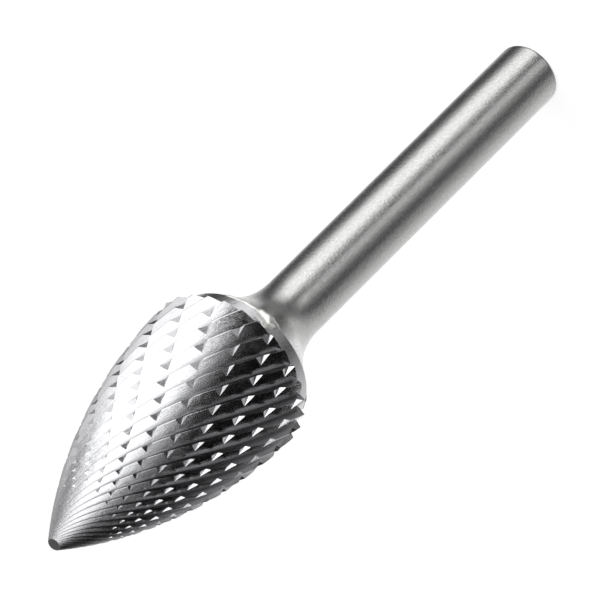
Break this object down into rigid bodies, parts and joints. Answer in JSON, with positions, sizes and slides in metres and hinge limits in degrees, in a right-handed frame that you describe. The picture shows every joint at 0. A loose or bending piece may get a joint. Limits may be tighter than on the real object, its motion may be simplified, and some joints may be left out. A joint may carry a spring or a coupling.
{
  "type": "carbide burr",
  "caption": "Pointed-tree rotary burr: a double-cut tungsten-carbide head brazed to a plain round steel shank with a flared neck.",
  "frame": {"origin": "centre of the shank's end face, on which the burr stands", "axes": "+Z along the axis, from the shank's end to the point; the cutting edge of one tooth leaves the head's widest section at +X"},
  "size_m": [0.016, 0.016, 0.075],
  "materials": {
    "tungsten_carbide": "finely ground, near mirror",
    "ground_steel": "centreless ground, satin",
    "silver_braze": "bright, as it flowed"
  },
  "bodies": {
    "root": {"carbide_head": "tungsten_carbide", "steel_shank": "ground_steel", "braze_joint": "silver_braze"}
  },
  "joints": []
}
